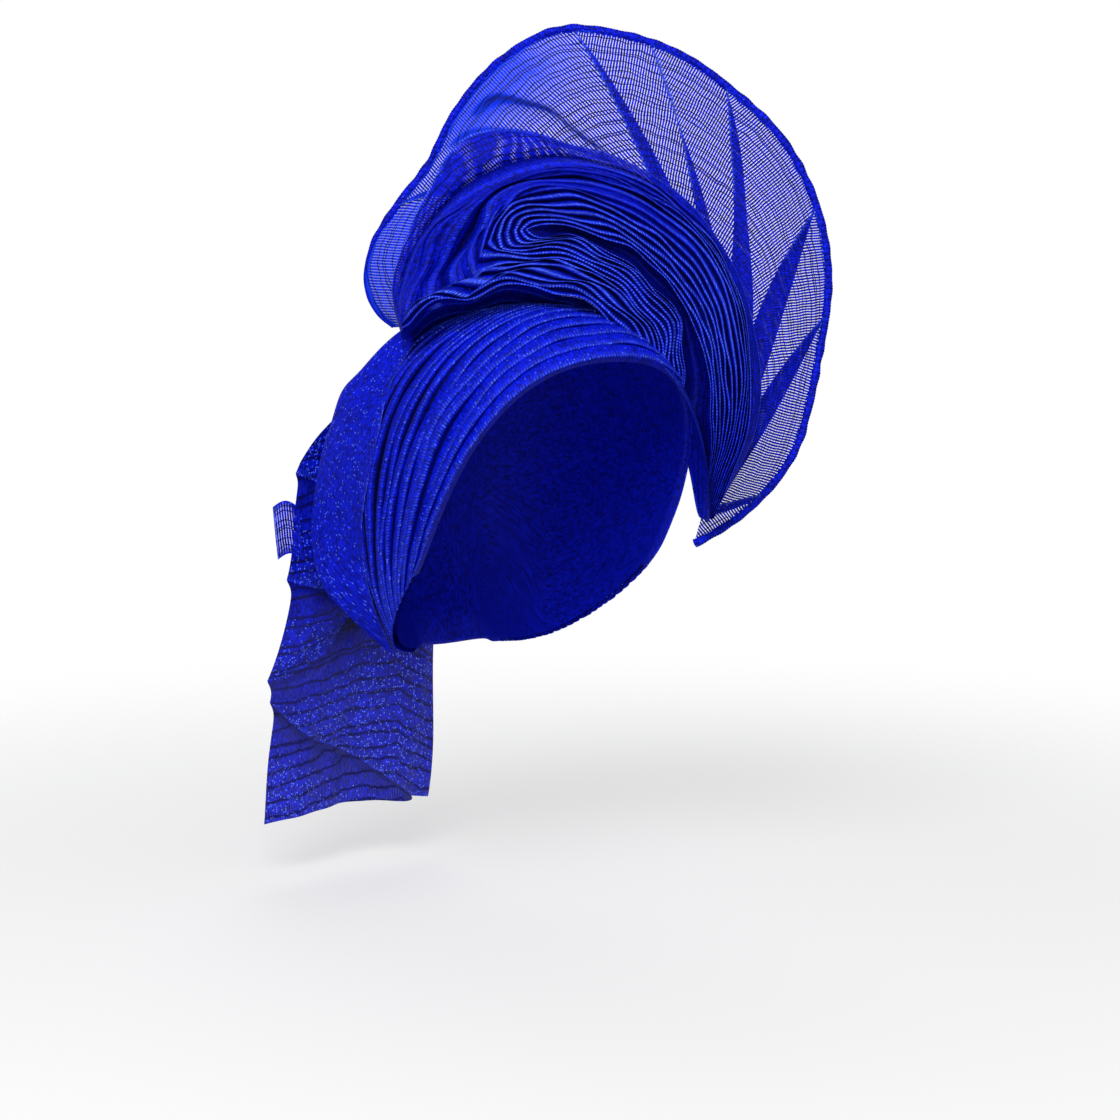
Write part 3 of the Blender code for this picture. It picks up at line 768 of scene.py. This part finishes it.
def makeTail():
    along = np.linspace(0, 1, tail["rows"] + 1)[:, None]
    across = np.linspace(0, 1, tail["columns"] + 1)[None, :]
    points = seatOnCrown(tailPoint(across + 0 * along, along + 0 * across))
    # painted light: a painted highlight along each fold's edge and a painted shadow below it
    shade = 0 * along * across
    for start, slope, _ in tailFolds:
        above = tierEdge(start, slope, across, along)
        shade = shade + np.where(above > 0, 0.5 * np.exp(-above / 0.008), -0.85 * np.exp(above / 0.045))
    dense = np.clip(1.2 - along * 0.5, 0, 1) + 0 * across
    return clothPiece("hangingTail", [(points, flatMap(points), np.clip(shade, -0.85, 0.6), dense)])


hangingTail = makeTail()
print("tail:", len(hangingTail.data.polygons), "faces")

# Selvage end: a small sheer end that stands out beside the tail
selvage = {"height": 32, "reach": 16, "up": -136, "rows": 60, "columns": 40}


def makeSelvage():
    along = np.linspace(0, 1, selvage["rows"] + 1)[:, None]
    across = np.linspace(0, 1, selvage["columns"] + 1)[None, :]
    drop = (selvage["up"] - tail["top"]) / -tail["length"]
    root = tailPoint(0 * along, drop + 0 * along)
    root = root - selvage["height"] * (along - 0.5)[..., None] * np.array([-0.1, 0, 1])
    reach = selvage["reach"]
    out = reach * across - 5
    wave = 0.12 * reach * np.cos(2 * np.pi * along) * across
    rise = 0.25 * reach * np.sin(np.pi * across) + 0 * along
    points = root + np.stack([-0.80 * out, 0.55 * out, 0 * out], axis=-1)
    points = points + np.stack([0.4 * wave, 0.6 * wave, rise], axis=-1)
    # the outer edge: a painted highlight there, and the weave is close there too
    edge = bell(across - 1, 0.08) + 0 * along
    dense = edge + (bell(along, 0.12) + bell(along - 1, 0.12)) + np.clip((0.35 - across) * 6, 0, 1)
    return clothPiece("selvageEnd", [(points, flatMap(points), edge, np.clip(dense, 0, 1))])


selvageEnd = makeSelvage()
print("selvage end:", len(selvageEnd.data.polygons), "faces")

# Finishes


def addNode(tree, kind, **settings):
    node = tree.nodes.new(kind)
    for name, value in settings.items():
        setattr(node, name, value)
    return node


def compute(tree, operation, first, second=None):
    node = addNode(tree, "ShaderNodeMath", operation=operation)
    for socket, value in zip(node.inputs, (first, second)):
        if isinstance(value, (int, float)):
            socket.default_value = value
        elif value is not None:
            tree.links.new(value, socket)
    return node.outputs[0]


def times(tree, first, second):
    return compute(tree, "MULTIPLY", first, second)


def plus(tree, first, second):
    return compute(tree, "ADD", first, second)


def newGroup(name, **amounts):
    # a group that takes the cloth's coordinates and some amounts, and what its nodes can read
    group = bpy.data.node_groups.new(name, "ShaderNodeTree")
    group.interface.new_socket("Cloth", in_out="INPUT", socket_type="NodeSocketVector")
    for title, value in amounts.items():
        group.interface.new_socket(title, in_out="INPUT", socket_type="NodeSocketFloat").default_value = value
    return group, addNode(group, "NodeGroupInput").outputs


def closeGroup(group, **values):
    for title in values:
        group.interface.new_socket(title, in_out="OUTPUT", socket_type="NodeSocketFloat")
    result = addNode(group, "NodeGroupOutput")
    for title, value in values.items():
        group.links.new(value, result.inputs[title])
    return group


def pulse(tree, place, spacing):
    # 1 on the middle of each thread and 0 halfway between two threads
    turns = compute(tree, "DIVIDE", place, spacing)
    return compute(tree, "ABSOLUTE", compute(tree, "SINE", times(tree, turns, math.pi)))


def smoothStep(tree, value, start, end):
    # 0 at start and 1 at end, whichever is greater
    node = addNode(tree, "ShaderNodeMapRange", interpolation_type="SMOOTHSTEP")
    node.inputs["From Min"].default_value, node.inputs["From Max"].default_value = start, end
    tree.links.new(value, node.inputs["Value"])
    return node.outputs["Result"]


def cellDice(tree, across, along):
    # a chance value for each cell of a grid
    cell = addNode(tree, "ShaderNodeCombineXYZ")
    tree.links.new(compute(tree, "FLOOR", across), cell.inputs[0])
    tree.links.new(compute(tree, "FLOOR", along), cell.inputs[1])
    dice = addNode(tree, "ShaderNodeTexWhiteNoise", noise_dimensions="2D")
    tree.links.new(cell.outputs[0], dice.inputs["Vector"])
    return dice.outputs["Value"]


def wanderingCloth(tree, cloth, scale, driftAcross, driftAlong):
    # the cloth's own coordinates in millimetres, drifting as real threads do, and the noise they drift by
    scaled = addNode(tree, "ShaderNodeVectorMath", operation="SCALE")
    scaled.inputs["Scale"].default_value = 1 / mm
    tree.links.new(cloth, scaled.inputs[0])
    wander = addNode(tree, "ShaderNodeTexNoise")
    wander.inputs["Scale"].default_value = scale
    wander.inputs["Detail"].default_value = 2
    tree.links.new(scaled.outputs[0], wander.inputs["Vector"])
    split = addNode(tree, "ShaderNodeSeparateXYZ")
    tree.links.new(scaled.outputs[0], split.inputs[0])
    drift = compute(tree, "SUBTRACT", wander.outputs["Fac"], 0.5)
    u = plus(tree, split.outputs["X"], times(tree, drift, driftAcross))
    v = plus(tree, split.outputs["Y"], times(tree, drift, driftAlong))
    return u, v, wander.outputs["Fac"]


def sparkleGroup():
    group, given = newGroup("glitterThread", Spacing=1.2, Row=1.6, Amount=0.4, Crease=0.0)
    u, v, drift = wanderingCloth(group, given["Cloth"], 0.12, 0.8, 3.0)
    across = compute(group, "DIVIDE", u, given["Spacing"])
    along = compute(group, "DIVIDE", v, given["Row"])
    dice = cellDice(group, across, along)
    du, dv = (compute(group, "SUBTRACT", compute(group, "FRACT", cell), 0.5) for cell in (across, along))
    dot = smoothStep(group, plus(group, times(group, du, du), times(group, dv, dv)), 0.14, 0.02)
    # the glitter dots are the cloth's own glitter, but more show on painted highlights and none in painted
    # shade
    raised = compute(group, "MAXIMUM", given["Crease"], 0.0)
    sunk = compute(group, "MINIMUM", given["Crease"], 0.0)
    level = plus(group, plus(group, given["Amount"], times(group, raised, 0.08)), times(group, sunk, 0.8))
    chance = compute(group, "SUBTRACT", dice, compute(group, "SUBTRACT", 1.0, level))
    sparkle = times(group, dot, smoothStep(group, chance, 0.0, 0.12))
    # painted highlight: bright ticks across a fold's raised edge, where each thread turns over it
    beat = compute(group, "POWER", pulse(group, u, 1.8), 2.0)
    tick = times(group, times(group, beat, raised), plus(group, dice, 0.35))
    fine = cellDice(group, u, compute(group, "DIVIDE", v, 2.1))
    threads = times(group, pulse(group, u, 1.0), pulse(group, v, 1.05))
    tone = plus(group, times(group, fine, 0.85), times(group, drift, 0.35))
    tone = times(group, tone, plus(group, times(group, threads, 0.5), 0.7))
    return closeGroup(group, Sparkle=sparkle, Tick=tick, Weave=threads, Tone=tone)


def netGroup():
    group, given = newGroup("openNet", Spacing=1.2, Thread=0.5, Heavy=5.0)
    u, v, _ = wanderingCloth(group, given["Cloth"], 0.05, 2.2, 9.0)
    # the share of a thread's spacing that is covered, as a cut through its sine
    cut = compute(group, "COSINE", times(group, given["Thread"], math.pi / 2))
    overCut = compute(group, "SUBTRACT", pulse(group, u, given["Spacing"]), cut)
    warp = addNode(group, "ShaderNodeClamp")
    group.links.new(plus(group, times(group, overCut, 6.0), 0.5), warp.inputs["Value"])
    weft = smoothStep(group, pulse(group, v, 1.25), 0.80, 0.97)
    row = compute(group, "DIVIDE", v, given["Heavy"])
    chance = addNode(group, "ShaderNodeTexWhiteNoise", noise_dimensions="1D")
    group.links.new(compute(group, "FLOOR", row), chance.inputs["W"])
    place = plus(group, times(group, chance.outputs["Value"], 0.7), 0.15)
    near = compute(group, "ABSOLUTE", compute(group, "SUBTRACT", compute(group, "FRACT", row), place))
    heavy = smoothStep(group, near, 0.15, 0.07)
    cover = compute(group, "MAXIMUM", warp.outputs["Result"], times(group, weft, 0.6))
    cover = compute(group, "MAXIMUM", cover, times(group, heavy, 0.92))
    return closeGroup(group, Cover=cover, Shade=heavy)


glitterThread = sparkleGroup()
openNet = netGroup()


def mixColours(tree, factor, first, second):
    node = addNode(tree, "ShaderNodeMix", data_type="RGBA")
    tree.links.new(factor, node.inputs["Factor"])
    for title, value in (("A", first), ("B", second)):
        # a mix node has an A and a B for each kind of value, and only the colours' are of type RGBA
        socket = [s for s in node.inputs if s.name == title and s.type == "RGBA"][0]
        if isinstance(value, tuple):
            socket.default_value = (*value, 1)
        else:
            tree.links.new(value, socket)
    return [s for s in node.outputs if s.type == "RGBA"][0]


# colours: the dark and light blues are the cloth's own mottled tone; the deepest blue is painted shade, and
# also the colour of the net's heavy rows; the brighter blue is a painted highlight on the halo's dense parts;
# the pale edge blue is a painted highlight on fold crests; the glitter blue is the cloth's own glitter, drawn
# lighter as a painted glint; the spark blue is a painted glow
clothBlue = {
    "deep": (0.0, 0.0003, 0.05), "dark": (0.0003, 0.0015, 0.14), "light": (0.002, 0.014, 0.98),
    "paintedLitBlue": (0.006, 0.05, 1.0), "edge": (0.10, 0.20, 1.0), "glitter": (0.12, 0.22, 1.0),
    "spark": (0.035, 0.075, 0.55), "roughness": 0.5, "spacing": 1.15, "row": 1.5, "amount": 0.09,
    "tick": 0.3, "paintedHighlight": 0.8, "paintedShadeStrength": 0.9, "polished": 0.25, "rowShade": 0.75, "bump": 0.4,
    "bumpDepth": 0.0003, "lift": 0, "open": None,
}
plainInputs = {
    "Emission Strength": 1, "Sheen Weight": 0.04, "Sheen Roughness": 0.4,
    "Sheen Tint": (0.02, 0.08, 1.0, 1), "Specular IOR Level": 0.09,
}


def clothFinish(name, **changes):
    # royal blue cloth with glitter dots; the changes say how dense the dots are and how open the cloth is
    values = {**clothBlue, **changes}
    made = bpy.data.materials.new(name)
    made.use_nodes = True
    tree = made.node_tree
    shader = tree.nodes["Principled BSDF"]
    for title, value in plainInputs.items():
        shader.inputs[title].default_value = value
    place = addNode(tree, "ShaderNodeUVMap", uv_map="cloth").outputs["UV"]
    paintedLight = addNode(tree, "ShaderNodeAttribute", attribute_name="paintedLight").outputs["Fac"]
    dense = addNode(tree, "ShaderNodeAttribute", attribute_name="dense").outputs["Fac"]
    dots = addNode(tree, "ShaderNodeGroup", node_tree=glitterThread)
    tree.links.new(place, dots.inputs["Cloth"])
    tree.links.new(paintedLight, dots.inputs["Crease"])
    for title in ("Spacing", "Row", "Amount"):
        dots.inputs[title].default_value = values[title.lower()]
    sparkle, tick = dots.outputs["Sparkle"], dots.outputs["Tick"]
    tone = mixColours(tree, dots.outputs["Tone"], values["dark"], values["light"])
    # painted highlight: where the halo's weave is dense the colour is mixed towards a brighter blue, standing
    # in for light on its top and left
    if values["lift"]:
        tone = mixColours(tree, times(tree, dense, values["lift"]), tone, values["paintedLitBlue"])
    # painted highlight: along fold crests the colour is mixed towards a pale blue
    paintedHighlight = mixColours(tree, times(tree, tick, values["paintedHighlight"]), tone, values["edge"])
    # painted shade: where the painted light is below 0 the colour is mixed towards the deepest blue
    paintedShade = times(tree, compute(tree, "MAXIMUM", times(tree, paintedLight, -1.0), 0.0), values["paintedShadeStrength"])
    shaded = mixColours(tree, paintedShade, paintedHighlight, values["deep"])
    colour = mixColours(tree, sparkle, shaded, values["glitter"])
    rough = compute(tree, "SUBTRACT", values["roughness"], times(tree, sparkle, values["polished"]))
    tree.links.new(rough, shader.inputs["Roughness"])
    bump = addNode(tree, "ShaderNodeBump")
    bump.inputs["Strength"].default_value = values["bump"]
    bump.inputs["Distance"].default_value = values["bumpDepth"]
    tree.links.new(dots.outputs["Weave"], bump.inputs["Height"])
    tree.links.new(bump.outputs["Normal"], shader.inputs["Normal"])
    # painted glint: the glitter dots and the crest ticks glow through the shader's emission
    glint = compute(tree, "MAXIMUM", sparkle, times(tree, tick, values["tick"]))
    spark = mixColours(tree, glint, (0.0, 0.0, 0.0), values["spark"])
    tree.links.new(spark, shader.inputs["Emission Color"])
    if values["open"]:
        net = addNode(tree, "ShaderNodeGroup", node_tree=openNet)
        tree.links.new(place, net.inputs["Cloth"])
        for title, value in zip(("Spacing", "Thread", "Heavy"), values["open"]):
            net.inputs[title].default_value = value
        solid = compute(tree, "MAXIMUM", dense, times(tree, paintedLight, 0.92))
        tree.links.new(compute(tree, "MAXIMUM", net.outputs["Cover"], solid), shader.inputs["Alpha"])
        heavyRows = times(tree, net.outputs["Shade"], values["rowShade"])
        colour = mixColours(tree, heavyRows, colour, values["deep"])
    tree.links.new(colour, shader.inputs["Base Color"])
    return made


# Each open net: spacing of its threads, the share that they cover, spacing of the heavy rows
wrapFinish = clothFinish("wrapCloth")
rosetteFinish = clothFinish("rosetteCloth", amount=0.05, tick=0.8, open=(1.6, 0.75, 5))
haloFinish = clothFinish("haloNet", amount=0.02, lift=0.8, open=(1.6, 0.71, 3.6))
hemFinish = clothFinish("hemThread", amount=0.04)
flapFinish = clothFinish("flapCloth", amount=0.13)
tailFinish = clothFinish("tailCloth", amount=0.24, open=(1.1, 0.94, 9))
selvageFinish = clothFinish("selvageNet", amount=0.12, open=(1.6, 0.85, 4))

# Dress and attach each piece
pieces = (
    # piece, node, material, slot, flat width and length in metres, held, what it rests on
    (headWrap, "head_wrap", wrapFinish, "royal_blue_cloth", (0.55, 0.40), "stretched", []),
    (rosettePleats, "rosette", rosetteFinish, "royal_blue_cloth", (0.30, 0.40), "gathered", [headWrap]),
    (haloCloth, "halo", haloFinish, "royal_blue_gauze", (0.32, 0.14), "gathered", [headWrap, rosettePleats]),
    (haloHem, "halo_hem", hemFinish, "royal_blue_cloth", (0.012, 0.60), "folded", [haloCloth]),
    (earFlap, "flap", flapFinish, "royal_blue_cloth", (0.06, 0.22), "folded", [headWrap]),
    (hangingTail, "tail", tailFinish, "royal_blue_cloth", (0.12, 0.27), "hung", [headWrap]),
    (selvageEnd, "selvage_end", selvageFinish, "royal_blue_gauze", (0.016, 0.034), "hung", [hangingTail]),
)
for piece, node, finish, slotName, flat, held, below in pieces:
    piece.data.materials.append(finish)
    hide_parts(node)
    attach(piece, "root")
print("pieces dressed:", len(pieces))

# Camera at the photograph's angle
view = {"azimuth": -37, "elevation": 8, "distance": 1.7, "lens": 95.625, "right": -0.0103, "down": 0.1417}


def turned(azimuth, elevation):
    az, el = math.radians(azimuth), math.radians(elevation)
    return np.array([math.sin(az) * math.cos(el), -math.cos(az) * math.cos(el), math.sin(el)])


def lookFrom(thing, place, way):
    # stands a camera or lamp at a place, looking against the given way
    thing.location = place
    thing.rotation_euler = Vector(way).to_track_quat("Z", "Y").to_euler()


towardsCamera = turned(view["azimuth"], view["elevation"])
rightWay = np.array([math.cos(math.radians(view["azimuth"])), math.sin(math.radians(view["azimuth"])), 0])
upWay = np.cross(towardsCamera, rightWay)
target = -rightWay * view["right"] - upWay * view["down"]
camera = bpy.data.objects.new("camera", bpy.data.cameras.new("camera"))
camera.data.lens = view["lens"]
camera.data.sensor_width = 36
bpy.context.scene.collection.objects.link(camera)
bpy.context.scene.camera = camera
lookFrom(camera, target + towardsCamera * view["distance"], towardsCamera)

# Soft studio light, a pale world and a pale floor that fades into it
lamps = (
    # azimuth and elevation in degrees, distance, size in metres, watts
    (-50, 42, 1.6, 0.8, 17),
    (20, 60, 1.8, 1.0, 3),
    (-30, 10, 1.8, 1.0, 3),
    (150, 40, 1.8, 1.0, 6),
)
for number, (azimuth, elevation, distance, size, watts) in enumerate(lamps):
    lamp = bpy.data.objects.new(f"softbox{number}", bpy.data.lights.new(f"softbox{number}", "AREA"))
    lamp.data.energy = watts
    lamp.data.size = size
    way = turned(azimuth, elevation)
    bpy.context.scene.collection.objects.link(lamp)
    lookFrom(lamp, way * distance + np.array([0, 0, -0.08]), way)
world = bpy.data.worlds.new("paleRoom")
bpy.context.scene.world = world
world.use_nodes = True
room = {"seen": 1.0, "lit": 0.31}
rays = addNode(world.node_tree, "ShaderNodeLightPath")
glow = times(world.node_tree, rays.outputs["Is Camera Ray"], room["seen"] - room["lit"])
glow = plus(world.node_tree, glow, room["lit"])
world.node_tree.nodes["Background"].inputs["Color"].default_value = (1, 1, 1, 1)
world.node_tree.links.new(glow, world.node_tree.nodes["Background"].inputs["Strength"])
bpy.context.scene.view_settings.view_transform = "Standard"

floor = {"height": -0.345, "radius": 1.6, "solidTo": 0.25, "fadedAt": 0.9, "solid": 0.5}
bpy.ops.mesh.primitive_circle_add(
    vertices=96, radius=floor["radius"], fill_type="NGON", location=(0, 0, floor["height"])
)
floorDisc = bpy.context.object
floorDisc.name = "studioFloor"
floorFinish = bpy.data.materials.new("paleFloor")
floorFinish.use_nodes = True
tree = floorFinish.node_tree
shader = tree.nodes["Principled BSDF"]
shader.inputs["Base Color"].default_value = (0.92, 0.92, 0.93, 1)
shader.inputs["Roughness"].default_value = 0.8
where = addNode(tree, "ShaderNodeTexCoord")
size = addNode(tree, "ShaderNodeVectorMath", operation="LENGTH")
tree.links.new(where.outputs["Object"], size.inputs[0])
fade = addNode(tree, "ShaderNodeMapRange", interpolation_type="SMOOTHSTEP")
fadeSteps = {
    "From Min": floor["solidTo"], "From Max": floor["fadedAt"], "To Min": floor["solid"], "To Max": 0,
}
for name, value in fadeSteps.items():
    fade.inputs[name].default_value = value
tree.links.new(size.outputs["Value"], fade.inputs["Value"])
tree.links.new(fade.outputs["Result"], shader.inputs["Alpha"])
floorDisc.data.materials.append(floorFinish)
print("stage set")
